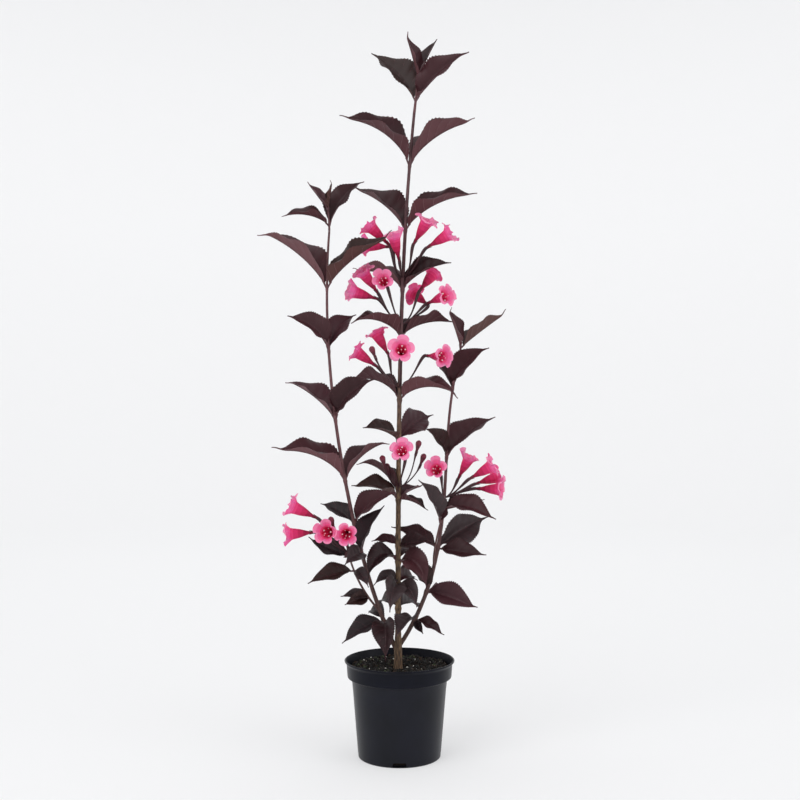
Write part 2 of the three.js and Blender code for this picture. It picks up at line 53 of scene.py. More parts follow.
# Crumbs on the fill: colour, how many, smallest and largest.
CRUMBS = [("#0a0806", 560, 0.8, 2.8), ("#1b120c", 380, 0.7, 2.7), ("#382718", 170, 0.7, 2.4),
          ("#8f8b80", 30, 0.5, 1.1), ("#e4e1d9", 46, 0.8, 1.9), ("#39432a", 110, 0.8, 2.3)]
CRUMB_GAP = 7  # no crumb lies closer to the trunk's middle than this
FIBRES = dict(count=110, kind=2, gap=6)  # kind is the row of CRUMBS whose colour they have
GROUND = SOIL["level"] + CLEARANCE
TRUNK = dict(foot=GROUND, tip=700.0, base=3.3, top=1.6)
LEAN = dict(across=17.5, power=3.4, start=-1.5, toward=10.0, upright=320.0)
BUTT = dict(radius=1.25, low=112.0, high=146.0)
FLARE = dict(radius=0.75, height=6.0)
LEFT_STEM = ([-4, -8, 118], [-48, -8, 210], [-88, -30, 400], [-75, -26, 568], 2.6, 1.2)
RIGHT_STEM = ([-1, -7, 120], [70, 8, 220], [40, 42, 335], [66, 30, 430], 2.5, 1.3)

# One row for each node of a stem: its height, its leaves, its flowers and its buds.
# Leaf: tip across, toward the front and up from the node, bow, roll.
# Flower: middle of the mouth across, toward the front and up, then azimuth and tilt of its face.
MAIN_NODES = [
    (162, [(24, -46, -10, 8, 38), (-22, -43, -4, 8, 38)], [], []),
    (187, [(-26, 19, 3, 8, 40), (-9, 43, -22, 10, 28), (18, -32, -2, 10, 45), (20, 24, -20, 8, 35)], [], []),
    (212, [(-32, 24, -15, 16, 35), (10, -54, 8, 10, 30), (30, 30, -24, 14, 40)], [], []),
    (229, [(-29, -6, 4, 4, 43), (36, 27, 9, 1, 54)], [], []),
    (279, [(-50, 30, 15, 7, 26), (-46, -24, 40, 12, -18), (31, 24, -10, 4, -10), (28, -24, 13, 3, 3)],
     [(3, 42, 56, -10, 22)],
     [(23, 6, 65), (29, -6, 50)]),
    (343, [(-38, 40, 15, 5, 34), (36, -51, 25, 7, 52)], [], []),
    (388, [(-56, -40, 20, 12, -11), (63, 40, 4, 12, 2)],
     [(-47, -4, 52, -85, 35), (-25, -8, 73, -110, 60), (2, 44, 53, 0, 8), (47, 18, 46, 45, -5),
      (2, -48, 58, 178, 12)],
     [(-30, 46, 56)]),
    (457, [(-53, 38, 13, 10, 9), (60, -38, 17, 8, -9)],
     [(-19, 38, 57, -10, 10), (-40, 22, 67, -60, 50), (-51, 20, 47, -75, 15), (35, -14, 69, 130, 45),
      (15, -22, 48, -140, 30), (48, 14, 43, 50, 15)],
     []),
    (508, [(-55, -40, 22, 10, -7), (52, 27, 26, 7, 42)],
     [(-35, 2, 68, -80, 42), (-38, 8, 47, -105, 5), (-9, 22, 54, -30, 65), (26, 24, 71, 60, 55),
      (49, 22, 57, 80, 30)],
     []),
    (573, [(-59, -40, 52, 8, 12), (76, 35, 32, 11, 22)], [], []),
    (643, [(-75, 30, 44, 15, 32), (74, -30, 56, 10, -10)], [], []),
]
LEFT_NODES = [
    (147, [(-44, 19, -20, 5, 32), (2, 35, -34, 14, 18), (-18, -30, 4, 8, 38)], [], []),
    (254, [(-38, -22, 20, 3, 35), (45, 27, 36, 6, 59)], [], []),
    (301, [(-75, 30, 32, 13, 14), (47, -35, 40, 9, -8)], [], []),
    (366, [(-56, -25, 43, 6, 14), (43, 35, 43, 9, 75)], [], []),
    (440, [(-42, 32, 34, 9, 62), (28, -27, 40, 8, 33)], [], []),
    (507, [(-77, -30, 65, 9, 2), (72, 30, 51, 8, 30)], [], []),
]
RIGHT_NODES = [
    (149, [(31, 19, -14, 1, 20), (-20, 46, -10, 6, 0), (9, 12, -14, 0, 49)], [], []),
    (178, [(54, 27, -15, 3, 47), (30, -32, -2, -3, 48), (-27, 1, 28, 10, 59)], [], []),
    (225, [(56, -45, 28, 4, 68), (51, 27, -4, -2, 38), (-51, 0, 24, 0, 30)], [], []),
    (266, [(55, 27, -10, 8, 30), (48, -30, 8, 0, 20)],
     [(-9, 30, 47, -15, 20), (28, 4, 57, 60, 60), (52, 16, 49, 80, 30), (60, -16, 35, 110, 15),
      (63, 2, 23, 70, 0)],
     []),
    (324, [(-25, 27, 33, 5, 75), (57, -32, 43, 6, 22)], [], []),
    (400, [(-18, -24, 33, 2, -1), (38, 27, 45, 8, 75)], [], []),
]
TWIGS = {
    "main_tip": (([16, 0, 700.4], [17.5, 0, 712], [19, 0, 728], [21, 0, 744], 1.6, 1.0), [
        (714, [(-49, -30, 61, 4, 28), (55, 32, 45, 4, 67)], [], []),
        (738, [(-14, 11, 47, 1, 60), (21, -11, 47, 1, 11)], [], []),]),
    "left_tip": (([-75, -26, 568.4], [-75, -26, 580], [-76, -26, 590], [-77, -26, 600], 1.2, 0.9), [
        (574, [(-49, 15, 7, 7, 20), (36, -22, 53, 5, 24)], [], []),
        (591, [(-23, -8, 31, 0, 13), (5, 11, 29, 0, 70)], [], []),]),
    "right_tip": (([66, 30, 430.6], [67, 30, 437], [68, 30, 444], [69, 30, 452], 1.3, 1.0), [
        (446, [(-16, 27, 42, 2, 75), (55, -27, 42, 1, -10)], [], []),]),
    "left_low_shoot": (([-21, -9, 159], [-33, -15, 172], [-48, -22, 196], [-54, -24, 222], 1.3, 1.0), [
        (174, [(-30, 14, 4, 2, 46), (-26, 22, -4, 2, 60)], [], []),
        (205, [(-48, 19, -10, 1, 41), (16, 19, -15, 4, 38)], [], []),
        (219, [(-45, -14, 18, 0, 47), (1, 26, 15, -1, 60)], [], []),]),
    "left_low_flowers": (([-54, -24, 222.7], [-55, -25, 225], [-55, -25, 228], [-56, -26, 232], 1.3, 1.2), [
        (225, [],
         [(-59, 6, 49, -85, 25), (-63, 0, 19, -90, -5), (-22, 26, 24, -15, 5), (-1, 28, 22, 0, 0)],
         [(-19, 10, 39)]),]),
    "left_leafy_shoot": (([-29, -9.5, 186], [-33, -16, 196], [-37, -20, 208], [-41, -24, 226], 1.2, 0.9), [
        (223, [(25, 8, 52, 5, 50), (-16, 43, -6, 4, 48)], [], []),]),
    "right_leafy_shoot": (([38, 7, 206], [36, -4, 218], [40, -9, 238], [45, -9, 258], 1.3, 0.9), [
        (255, [(-23, 22, 48, 3, 70), (6, -14, 20, 2, 38)], [], []),]),
}
LEAF = dict(width=0.56, fold=35.0, petiole=0.07, drip=0.06, thick=0.35, quilt=0.011, cup=0.2)
LEAF_MESH = dict(rows=54, columns=13, tooth=0.93)
LONG_LEAF = 60.0  # a leaf longer than this has more side veins
VEIN_PAIRS = dict(short=5.0, long=6.5)
FLOWER = dict(tube=28.0, lobe=14.4, notch=10.0, mouth=6.6)
MOUTH_AT = 25.6  # how far along a flower its tube opens out into the lobes
TUBE_ALONG = [0, 3, 6, 9, 12, 15, 18, 21, 23.5, MOUTH_AT]
TUBE_RADIUS = [1.35, 1.45, 1.8, 2.6, 3.6, 4.5, 5.2, 5.7, 6.1, FLOWER["mouth"]]
LOBES = 5
LOBE_RINGS = 9
PETAL_SIDES = 80
BUD_LONG = 17
BUD_ALONG = [0, 3, 6, 9, 11.5, 13.5, 15.2, 16.4, 17.0]
BUD_RADIUS = [1.0, 1.15, 1.5, 2.2, 3.0, 3.3, 2.8, 1.5, 0.1]
SWELL = dict(reach=2.6, share=0.22, oval=0.3)  # how a stem thickens at each pair of leaves
STEM_RINGS = 420
# Buds that only this script has, by stem and height of node: in the solids other masses are in their way.
SMALL_BUDS = {("main", 279): [(-18, 10, 49), (-13, 2, 40)]}
COLLAR_PITCH = 13.0  # the flower stalks leave a stem this far above its pair of leaves
UP = np.array([0.0, 0.0, 1.0])
BACK = np.array([0.0, 1.0, 0.0])


# ---------------------------------------------------------------- small helpers
def unit(v):
    return v / max(np.linalg.norm(v), 1e-9)


def turns(sides):
    """Angles evenly round a circle."""
    return np.arange(sides) * 2 * math.pi / sides


def bezier(points, t):
    p0, p1, p2, p3 = (np.asarray(p, float) for p in points)
    t = np.asarray(t, float)[..., None]
    s = 1 - t
    return s**3 * p0 + 3 * s * s * t * p1 + 3 * s * t * t * p2 + t**3 * p3


def bezier_tangent(points, t):
    p0, p1, p2, p3 = (np.asarray(p, float) for p in points)
    t = np.asarray(t, float)[..., None]
    s = 1 - t
    d = s * s * (p1 - p0) + 2 * s * t * (p2 - p1) + t * t * (p3 - p2)
    return d / np.linalg.norm(d, axis=-1, keepdims=True)


def smoothstep(x, low, high):
    t = np.clip((x - low) / (high - low), 0, 1)
    return t * t * (3 - 2 * t)


def linear(hexcode):
    channel = [int(hexcode[i:i + 2], 16) / 255 for i in (1, 3, 5)]
    return [c / 12.92 if c <= 0.04045 else ((c + 0.055) / 1.055) ** 2.4 for c in channel]


class Limb:
    """A stem's axis and radius by its share u from foot to tip, in millimetres."""

    def __init__(self, spec):
        self.points, self.foot, self.tip = spec[:4], spec[4], spec[5]

    def at(self, u):
        return bezier(self.points, u)

    def radius(self, u):
        return self.foot + (self.tip - self.foot) * np.asarray(u, float)

    def share(self, z):
        low, high = 0.0, 1.0
        for _ in range(30):
            middle = (low + high) / 2
            if self.at(middle)[2] < z:
                low = middle
            else:
                high = middle
        return (low + high) / 2


class Trunk(Limb):
    def __init__(self):
        self.height = TRUNK["tip"] - TRUNK["foot"]

    def at(self, u):
        u = np.asarray(u, float)
        z = TRUNK["foot"] + self.height * u
        toward = LEAN["toward"] * (1 - smoothstep(z, TRUNK["foot"], LEAN["upright"]))
        return np.stack([LEAN["start"] + LEAN["across"] * u ** LEAN["power"], -toward, z], -1)

    def radius(self, u):
        u = np.asarray(u, float)
        z = TRUNK["foot"] + self.height * u
        butt = BUTT["radius"] * (1 - smoothstep(z, BUTT["low"], BUTT["high"]))
        flare = FLARE["radius"] * np.exp(-(z - TRUNK["foot"]) / FLARE["height"])
        return TRUNK["base"] + (TRUNK["top"] - TRUNK["base"]) * u + butt + flare


class Skin:
    """Collects patches of mesh, each with its material, and makes one object of them."""

    def __init__(self, name, materials):
        self.name, self.materials = name, materials
        self.verts, self.loops, self.totals, self.mats, self.count = [], [], [], [], 0

    def add(self, verts, faces, material=0):
        verts = np.asarray(verts, float).reshape(-1, 3)
        faces = np.asarray(faces, int)
        self.verts.append(verts)
        self.loops.append((faces + self.count).ravel())
        self.totals.append(np.full(len(faces), faces.shape[1]))
        mats = np.asarray(material, int)
        self.mats.append(np.full(len(faces), mats) if mats.ndim == 0 else mats)
        self.count += len(verts)

    def grid(self, points, material=0, closed=False, flip=False):
        """A sheet over an n by m array of points; closed joins the last column to the first."""
        n, m = points.shape[:2]
        i, j = np.meshgrid(np.arange(n - 1), np.arange(m if closed else m - 1), indexing="ij")
        k = (j + 1) % m
        quads = np.stack([i * m + j, i * m + k, (i + 1) * m + k, (i + 1) * m + j], -1).reshape(-1, 4)
        if flip:
            quads = quads[:, ::-1]
        mats = np.asarray(material, int)
        if mats.ndim == 1:
            mats = np.repeat(mats, m if closed else m - 1)
        self.add(points.reshape(-1, 3), quads, mats)

    def build(self):
        verts = np.concatenate(self.verts) * MM
        loops = np.concatenate(self.loops)
        totals = np.concatenate(self.totals)
        mesh = bpy.data.meshes.new(self.name)
        mesh.vertices.add(len(verts))
        mesh.vertices.foreach_set("co", verts.ravel())
        mesh.loops.add(len(loops))
        mesh.loops.foreach_set("vertex_index", loops)
        mesh.polygons.add(len(totals))
        mesh.polygons.foreach_set("loop_start", np.concatenate([[0], np.cumsum(totals)[:-1]]))
        mesh.polygons.foreach_set("loop_total", totals)
        mesh.polygons.foreach_set("material_index", np.concatenate(self.mats))
        mesh.polygons.foreach_set("use_smooth", np.ones(len(totals), bool))
        for material in self.materials:
            mesh.materials.append(material)
        mesh.update(calc_edges=True)
        mesh.validate()
        piece = bpy.data.objects.new(self.name, mesh)
        bpy.context.scene.collection.objects.link(piece)
        return piece


def rings(centres, alongs, radii, sides):
    """Rings of points round an axis; radii is one for each ring or one for each point."""
    side = np.cross(BACK, alongs)
    side /= np.linalg.norm(side, axis=-1, keepdims=True)
    front = np.cross(alongs, side)
    angle = turns(sides)
    radii = np.asarray(radii, float)
    radii = np.repeat(radii[:, None], sides, 1) if radii.ndim == 1 else radii
    return (centres[:, None] + side[:, None] * (np.cos(angle) * radii)[..., None]
            + front[:, None] * (np.sin(angle) * radii)[..., None])


def tube(skin, centres, radii, sides, material=0):
    """A closed tube along the centres, with a flat fan at each end."""
    centres = np.asarray(centres, float)
    alongs = np.gradient(centres, axis=0)
    alongs /= np.linalg.norm(alongs, axis=-1, keepdims=True)
    points = rings(centres, alongs, radii, sides)
    skin.grid(points, material, closed=True)
    fan = np.array([[0, (j + 1) % sides + 1, j + 1] for j in range(sides)])
    skin.add(np.vstack([centres[:1], points[0]]), fan, material)
    skin.add(np.vstack([centres[-1:], points[-1]]), fan[:, ::-1], material)


# ---------------------------------------------------------------- materials
# Leaf tints, each with the colours of an upper and an under side, and how the tints are dealt out.
# The last two tints, greyer than the rest, are painted sheen: the greyish sheen of the lower leaves.
TINTS = [("#33171b", "#5f3d41"), ("#271215", "#523337"), ("#3f1f24", "#6d484c"), ("#2f1c1a", "#5b403d"),
         ("#42242a", "#745156"), ("#2a2023", "#57484b"), ("#382b2d", "#635355")]
HIGH_SHARES = (0.3, 0.2, 0.2, 0.15, 0.15, 0, 0)
LOW_SHARES = (0.1, 0.2, 0.1, 0.15, 0.05, 0.2, 0.2)
GREY_SHEEN_BELOW = 262  # leaves on nodes lower than this draw tints by LOW_SHARES, the only shares that deal the two greyer tints: painted sheen
# Rows of name, colour, roughness and shine.
VEIN_ROWS = [("leaf_stalk", "#57343a", 0.5, 0.5), ("vein_over", "#603a40", 0.5, 0.25),
             ("vein_under", "#7c5459", 0.55, 0.5)]
PETAL_ROWS = [
    ("lobe_face", "#f28bb0", 0.5, 0.25), ("lobe_base", "#ee729e", 0.5, 0.25),
    ("lobe_inner", "#f1699c", 0.5, 0.25), ("lobe_back", "#f26ba2", 0.55, 0.25),
    ("lobe_foot", "#ea5590", 0.55, 0.25),
    ("throat", "#e23c74", 0.6, 0.2), ("throat_rim", "#e95788", 0.55, 0.2),
    ("tube_foot", "#841636", 0.6, 0.2), ("tube_low", "#a01c47", 0.6, 0.2),
    ("tube_middle", "#bd2558", 0.6, 0.2), ("tube_high", "#d02f69", 0.6, 0.2),
    ("tube_top", "#e0417d", 0.55, 0.2),
    ("bud_foot", "#551325", 0.5, 0.5), ("bud_head", "#6e1530", 0.45, 0.5),
]
PART_ROWS = [("calyx", "#3d1f25", 0.55, 0.5), ("filament", "#d85583", 0.5, 0.5),
             ("anther", "#faeef0", 0.6, 0.5), ("stigma", "#f3b3c8", 0.4, 0.5)]
VEIN = {row[0]: place for place, row in enumerate(VEIN_ROWS)}
PETAL = {row[0]: place for place, row in enumerate(PETAL_ROWS)}
PART = {row[0]: place for place, row in enumerate(PART_ROWS)}
# Outside, how many of a flower's bands have each colour, from its foot up. Inside, how many bands past a
# drawn depth each colour reaches: a later one lies over those before it.
OUTSIDE = [("tube_foot", 2), ("tube_low", 2), ("tube_middle", 2), ("tube_high", 2), ("tube_top", 2),
           ("lobe_foot", 2), ("lobe_back", 6)]
INSIDE = [("lobe_base", 7), ("lobe_inner", 5), ("throat_rim", 3), ("throat", 1)]
LARGE_ANTHERS = (0, 2, 3)


def material(name, base, roughness=0.5, **inputs):
    m = bpy.data.materials.new(name)
    m.use_nodes = True
    shader = m.node_tree.nodes["Principled BSDF"]
    colour = linear(base) if isinstance(base, str) else list(base)
    shader.inputs["Base Color"].default_value = (*colour, 1)
    shader.inputs["Roughness"].default_value = roughness
    for key, value in inputs.items():
        shader.inputs[key.replace("_", " ")].default_value = value
    m.diffuse_color = (*colour, 1)
    return m


def wire(m, source, output, target, socket):
    m.node_tree.links.new(source.outputs[output], target.inputs[socket])


def node(m, kind, **settings):
    made = m.node_tree.nodes.new(kind)
    for key, value in settings.items():
        if hasattr(made, key):
            setattr(made, key, value)
        else:
            made.inputs[key].default_value = value
    return made


def noise(m, scale, detail=4.0, stretch=(1, 1, 1)):
    """Noise in object space, at a scale per metre."""
    place = node(m, "ShaderNodeTexCoord")
    mapping = node(m, "ShaderNodeMapping")
    mapping.inputs["Scale"].default_value = stretch
    wire(m, place, "Object", mapping, "Vector")
    made = node(m, "ShaderNodeTexNoise", Scale=scale, Detail=detail)
    wire(m, mapping, "Vector", made, "Vector")
    return made


def ramp(m, source, output, stops):
    made = node(m, "ShaderNodeValToRGB")
    elements = made.color_ramp.elements
    while len(elements) < len(stops):
        elements.new(0.5)
    for element, (position, colour) in zip(elements, stops):
        element.position = position
        shade = linear(colour) if isinstance(colour, str) else [colour] * 3
        element.color = (*shade, 1)
    wire(m, source, output, made, "Fac")
    return made


def bump(m, source, output, strength, distance):
    made = node(m, "ShaderNodeBump", Strength=strength, Distance=distance)
    wire(m, source, output, made, "Height")
    wire(m, made, "Normal", m.node_tree.nodes["Principled BSDF"], "Normal")


def colour_by(m, source, output, stops):
    made = ramp(m, source, output, stops)
    wire(m, made, "Color", m.node_tree.nodes["Principled BSDF"], "Base Color")


MIX_COLOUR_A, MIX_COLOUR_B, MIX_COLOUR_RESULT = 6, 7, 2  # the colour sockets of a mix node


def bark_material(name, low, high, stops_low, stops_high):
    """Bark whose tone goes from woody at height low to young at height high."""
    m = material(name, stops_low[1][1], 0.7)
    grain = noise(m, 900, 5, (1, 1, 0.16))
    woody = ramp(m, grain, "Fac", stops_low)
    young = ramp(m, grain, "Fac", stops_high)
    place = node(m, "ShaderNodeTexCoord")
    split = node(m, "ShaderNodeSeparateXYZ")
    wire(m, place, "Object", split, "Vector")
    height = node(m, "ShaderNodeMapRange")
    height.inputs["From Min"].default_value = low * MM
    height.inputs["From Max"].default_value = high * MM
    wire(m, split, "Z", height, "Value")
    mix = node(m, "ShaderNodeMix", data_type="RGBA")
    wire(m, height, "Result", mix, "Factor")
    wire(m, woody, "Color", mix, MIX_COLOUR_A)
    wire(m, young, "Color", mix, MIX_COLOUR_B)
    wire(m, mix, MIX_COLOUR_RESULT, m.node_tree.nodes["Principled BSDF"], "Base Color")
    bump(m, grain, "Fac", 0.5, 0.0004)
    return m


def plastic_material(name, shine):
    m = material(name, "#0c0e14", 0.36, Specular_IOR_Level=shine)
    fine = noise(m, 1500, 3)
    broad = noise(m, 25, 3)
    colour_by(m, broad, "Fac", [(0.3, "#080a13"), (0.7, "#0e101c")])
    rough = ramp(m, fine, "Fac", [(0.3, 0.3), (0.7, 0.42)])
    wire(m, rough, "Color", m.node_tree.nodes["Principled BSDF"], "Roughness")
    bump(m, fine, "Fac", 0.12, 0.0002)
    return m


def soil_material():
    m = material("potting_mix", "#1d1712", 0.95, Specular_IOR_Level=0.15)
    grains = noise(m, 420, 8)
    colour_by(m, grains, "Fac", [(0.3, "#0a0806"), (0.5, "#17110d"), (0.62, "#241b14"), (0.8, "#120d0a")])
    bump(m, grains, "Fac", 0.9, 0.002)
    return m


# ---------------------------------------------------------------- camera, light and floor
PX = 1.0909  # millimetres to one pixel at the plant's own distance
DISTANCE, FOCAL_PX, FRAME_PX, HORIZON = 1246.0, 1142.0, 800, 387.7


def camera():
    data = bpy.data.cameras.new("camera")
    data.sensor_width = 36
    data.lens = FOCAL_PX / FRAME_PX * data.sensor_width
    data.clip_start, data.clip_end = 0.01, 50
    made = bpy.data.objects.new("camera", data)
    made.location = (0.5 * PX * MM, -DISTANCE * MM, HORIZON * MM)
    made.rotation_euler = (math.pi / 2, 0, 0)
    bpy.context.scene.collection.objects.link(made)
    bpy.context.scene.camera = made


def area(name, place, aim, size, power):
    data = bpy.data.lights.new(name, "AREA")
    data.shape, data.size, data.size_y = "RECTANGLE", size[0], size[1]
    data.energy = power
    made = bpy.data.objects.new(name, data)
    made.location = place
    direction = np.array(aim, float) - np.array(place, float)
    flat = math.hypot(direction[0], direction[1])
    made.rotation_euler = (math.atan2(flat, -direction[2]), 0, math.atan2(-direction[0], direction[1]))
    bpy.context.scene.collection.objects.link(made)


def studio():
    world = bpy.data.worlds.new("studio")
    world.use_nodes = True
    sky = world.node_tree.nodes["Background"]
    sky.inputs["Color"].default_value = (0.95, 0.97, 1.0, 1)
    sky.inputs["Strength"].default_value = 0.28
    bpy.context.scene.world = world
    # a round floor that sweeps up into a wall on every side, lit a little from within like a light table
    paper = material("studio_paper", (0.5, 0.5, 0.503), 0.9, Specular_IOR_Level=0.1, Emission_Strength=0.42)
    shader = paper.node_tree.nodes["Principled BSDF"]
    shader.inputs["Emission Color"].default_value = (0.985, 0.99, 1.0, 1)
    # in metres: how far the floor is flat, how high the wall is, and the radius of the sweep between them
    depth, rise, bend = 2.2, 3.5, 1.0
    floor = Skin("studio_floor", [paper])
    turn = np.linspace(0, math.pi / 2, 24)
    r = np.concatenate([[0.01, 1.0], depth + bend * np.sin(turn), [depth + bend]])
    z = np.concatenate([[0.0, 0.0], bend - bend * np.cos(turn), [rise]])
    lathe(floor, np.stack([r, z], -1) / MM, 96)
    floor.build()
    area("key", (-1.3, -1.6, 2.3), (0, 0, 0.4), (1.8, 1.8), 25)
    area("fill", (1.9, -1.2, 1.3), (0, 0, 0.4), (1.6, 2.0), 11)
    area("top", (0, 0.1, 2.8), (0, 0, 0.3), (2.4, 2.4), 19)
    area("wall", (0, 1.4, 1.8), (0, 2.9, 0.3), (3.4, 0.8), 8)
    view = bpy.context.scene.view_settings
    view.view_transform = "Standard"
    view.look = "None"


# ---------------------------------------------------------------- pot and potting mix
def pot_wall(z):
    top = POT["rim"] - POT["step"] - 2
    return POT["base"] + (top - POT["base"]) * z / POT["height"]


def rounded(profile, radius=0.7, steps=4):
    """The profile with each corner rounded off."""
    points = [np.array(p, float) for p in profile]
    made = [points[0]]
    for before, corner, after in zip(points, points[1:], points[2:]):
        cut = min(radius, np.linalg.norm(before - corner) / 2.2, np.linalg.norm(after - corner) / 2.2)
        start = corner + unit(before - corner) * cut
        end = corner + unit(after - corner) * cut
        for t in np.linspace(0, 1, steps):
            made.append((1 - t) ** 2 * start + 2 * t * (1 - t) * corner + t * t * end)
    return np.array(made + [points[-1]])


def lathe(skin, profile, sides, material=0):
    angle = turns(sides)
    r, z = profile[:, 0], profile[:, 1]
    points = np.stack([np.outer(r, np.cos(angle)), np.outer(r, np.sin(angle)),
                       np.repeat(z[:, None], sides, 1)], -1)
    skin.grid(points, material, closed=True)


def pot_profile(shoulder):
    """The pot's section, from the middle of its underside out, up, over the rim and down inside."""
    rim, height, base, wall = POT["rim"], POT["height"], POT["base"], POT["wall"]
    band = height - POT["band"]
    floor = wall + 0.7
    return rounded([
        (0.01, 0), (base - 0.9, 0), (base, 1.0),
        *[(pot_wall(z) - 0.1, z) for z in (6.5, 9, 12, 18, 26, 36, 48, 60, 71)],
        (pot_wall(shoulder) + 0.2, shoulder), (rim - 3.5, band + 0.6), (rim - 3.2, band + 2.4),
        (rim - 2.4, height - 4.4), (rim - 1.4, height - 2.9), (rim - 0.2, height - 1.7), (rim, height - 0.7),
        (rim - 0.6, height - 0.02), (rim - POT["lip"], height), (rim - 1.2 - POT["lip"], height - 4),
        (rim - 3.0 - wall, height - 9), (rim - 4.1 - wall, band + 2),
        (pot_wall(shoulder) - wall, shoulder - 2), (base - wall, floor), (0.01, floor),
    ], 0.9)


def notch_cutter(angle):
    """A bar with two chamfered corners that points out through the pot's foot at an angle."""
    cutter = Skin("slot", [])
    half, depth, high = NOTCH["width"] / 2, NOTCH["depth"], NOTCH["height"]
    sill = NOTCH["sill"]
    shape = [(-half, sill), (half, sill), (half - 0.6, high - 0.8), (half - 1.6, high),
             (1.6 - half, high), (0.6 - half, high - 0.8)]
    ends = [[(out * math.cos(angle) - a * math.sin(angle), out * math.sin(angle) + a * math.cos(angle), b)
             for a, b in shape] for out in (POT["base"] - depth, POT["base"] + depth)]
    corners = list(range(len(shape)))
    cutter.grid(np.array(ends), closed=True)
    cutter.add(ends[0], [corners[::-1]])
    cutter.add(ends[1], [corners])
    return cutter.build()


def cut_away(made, cutter):
    """Takes the cutter's shape out of an object's mesh and deletes the cutter."""
    cut = made.modifiers.new("cut", "BOOLEAN")
    cut.operation, cut.object, cut.solver = "DIFFERENCE", cutter, "EXACT"
    graph = bpy.context.evaluated_depsgraph_get()
    mesh = bpy.data.meshes.new_from_object(made.evaluated_get(graph))
    made.modifiers.clear()
    old, made.data = made.data, mesh
    bpy.data.meshes.remove(old)
    bpy.data.objects.remove(cutter)


def pot():
    # The band's copy of the same plastic has less shine, so the band looks darker than the wall: painted
    # shade.
    plastics = [plastic_material("pot_wall_plastic", 0.23), plastic_material("pot_band_painted_shade_plastic", 0.13)]
    skin = Skin("pot_shell", plastics)
    shoulder = POT["height"] - POT["band"] - 0.6
    profile = pot_profile(shoulder)
    middle = (profile[1:, 1] + profile[:-1, 1]) / 2
    # faces above the shoulder get the band's copy with less shine, the painted shade
    on_band = (middle > shoulder + 0.2).astype(int)
    lathe(skin, profile, 192, on_band)
    made = skin.build()
    for i in range(NOTCH["count"]):
        angle = (i + 0.5) / NOTCH["count"] * 2 * math.pi + math.pi / NOTCH["count"]
        cut_away(made, notch_cutter(angle))
    made.data.set_sharp_from_angle(angle=math.radians(32))
    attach(made, "root")
    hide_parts("pot")


def hills(x, y, seed, wavelength, octaves=4):
    """Smooth seeded noise from a few sines at each of several sizes."""
    draw = np.random.default_rng(seed)
    total = np.zeros_like(x)
    for octave in range(octaves):
        for _ in range(5):
            turn, phase = draw.uniform(0, 2 * math.pi, 2)
            k = 2 * math.pi / wavelength * 2**octave * draw.uniform(0.7, 1.3)
            total += np.sin(k * (x * math.cos(turn) + y * math.sin(turn)) + phase) / 2**octave
    return total / 4


def soil_height(x, y):
    r = np.hypot(x, y)
    inner = SOIL["reach"]
    lumps = hills(x, y, LUMPS["seed"], LUMPS["wavelength"]) * LUMPS["height"]
    return SOIL["level"] + lumps * smoothstep(r, 8, 20) - 1.2 * smoothstep(r, inner - 8, inner)


def crumb(draw, size, flat=0.6):
    """A rough little lump: a twelve-cornered solid with its corners pushed about."""
    g = (1 + 5**0.5) / 2
    corners = np.array([(0, a, b * g) for a in (-1, 1) for b in (-1, 1)]
                       + [(a, b * g, 0) for a in (-1, 1) for b in (-1, 1)]
                       + [(b * g, 0, a) for a in (-1, 1) for b in (-1, 1)]) / 1.9
    edge = 1.15  # a little over the distance between neighbouring corners
    faces = []
    for i in range(12):
        for j in range(i + 1, 12):
            for k in range(j + 1, 12):
                a, b, c = corners[i], corners[j], corners[k]
                if max(np.linalg.norm(a - b), np.linalg.norm(b - c), np.linalg.norm(c - a)) < edge:
                    out = np.dot(np.cross(b - a, c - a), a + b + c) > 0
                    faces.append((i, j, k) if out else (i, k, j))
    spin = draw.normal(size=(3, 3))
    spin, _ = np.linalg.qr(spin)
    shape = corners * draw.uniform(0.7, 1.25, (12, 1)) * (1, 1, flat)
    return (shape @ spin.T) * size, faces


def potting_mix_surface():
    surface = Skin("potting_mix_surface", [soil_material()])
    foot = POT["base"] - POT["wall"] - SOIL["foot_gap"]
    below_band = pot_wall(SOIL["waist"]) - POT["wall"] - SOIL["gap"]
    r = np.concatenate([np.linspace(0.2, SOIL["reach"], 90), [below_band, foot, 0.2]])
    angle = turns(200)
    x, y = np.outer(r, np.cos(angle)), np.outer(r, np.sin(angle))
    grain = hills(x, y, GRAIN["seed"], GRAIN["wavelength"], GRAIN["octaves"]) * GRAIN["height"]
    z = soil_height(x, y) + grain * smoothstep(r, 7, 12)[:, None]
    z[-3] = SOIL["waist"]
    z[-2:] = SOIL["bed"]
    surface.grid(np.stack([x, y, z], -1), closed=True)
    made = surface.build()
    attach(made, "root")
    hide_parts("potting_mix")


def scatter_crumbs(skin, trunk_foot, draw):
    for index, (_, count, low, high) in enumerate(CRUMBS):
        for _ in range(count):
            far = SOIL["reach"] * draw.uniform(0.02, 1) ** 0.5
            turn = draw.uniform(0, 2 * math.pi)
            px, py = far * math.cos(turn), far * math.sin(turn)
            if math.hypot(px - trunk_foot[0], py - trunk_foot[1]) < CRUMB_GAP:
                continue
            size = draw.uniform(low, high)
            far = min(far, SOIL["reach"] - size)
            px, py = far * math.cos(turn), far * math.sin(turn)
            verts, faces = crumb(draw, size)
            skin.add(verts + (px, py, soil_height(px, py) + size * 0.3), faces, index)


